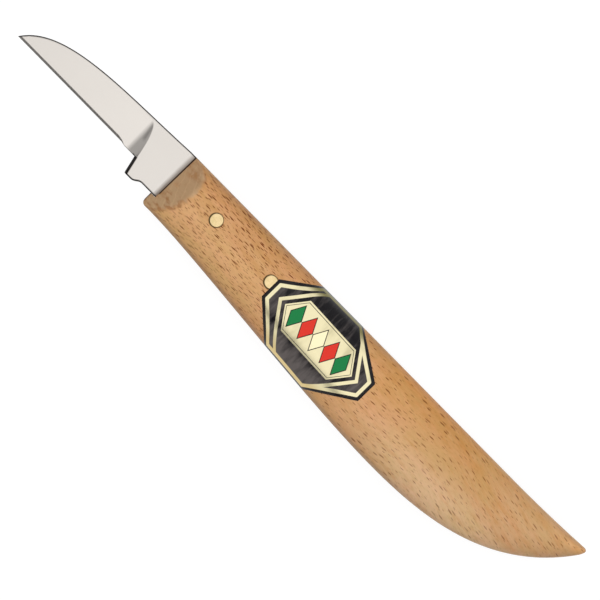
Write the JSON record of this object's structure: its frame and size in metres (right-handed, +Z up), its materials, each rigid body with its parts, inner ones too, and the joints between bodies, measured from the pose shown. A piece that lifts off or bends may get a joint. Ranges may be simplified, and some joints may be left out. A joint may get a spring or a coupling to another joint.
{
  "type": "wood carving knife",
  "caption": "Fixed-blade wood carving knife: a short flat-ground steel blade riveted into a curved one-piece beech handle with flush brass rivets and a foil label.",
  "frame": {"origin": "on the surface that the knife lies on, under the middle of its box", "axes": "+X from the point of the blade to the butt, +Y towards the back of the knife, +Z up through the labelled cheek"},
  "size_m": [0.18, 0.0224, 0.0142],
  "materials": {
    "blade_steel": "polished flat grind",
    "beech": "oiled satin beech",
    "rivet_brass": "sanded flush",
    "label_foil": "black and gold printed foil"
  },
  "bodies": {
    "root": {"blade": "blade_steel", "handle": "beech", "front_rivet": "rivet_brass", "rear_rivet": "rivet_brass", "label": "label_foil"}
  },
  "joints": []
}
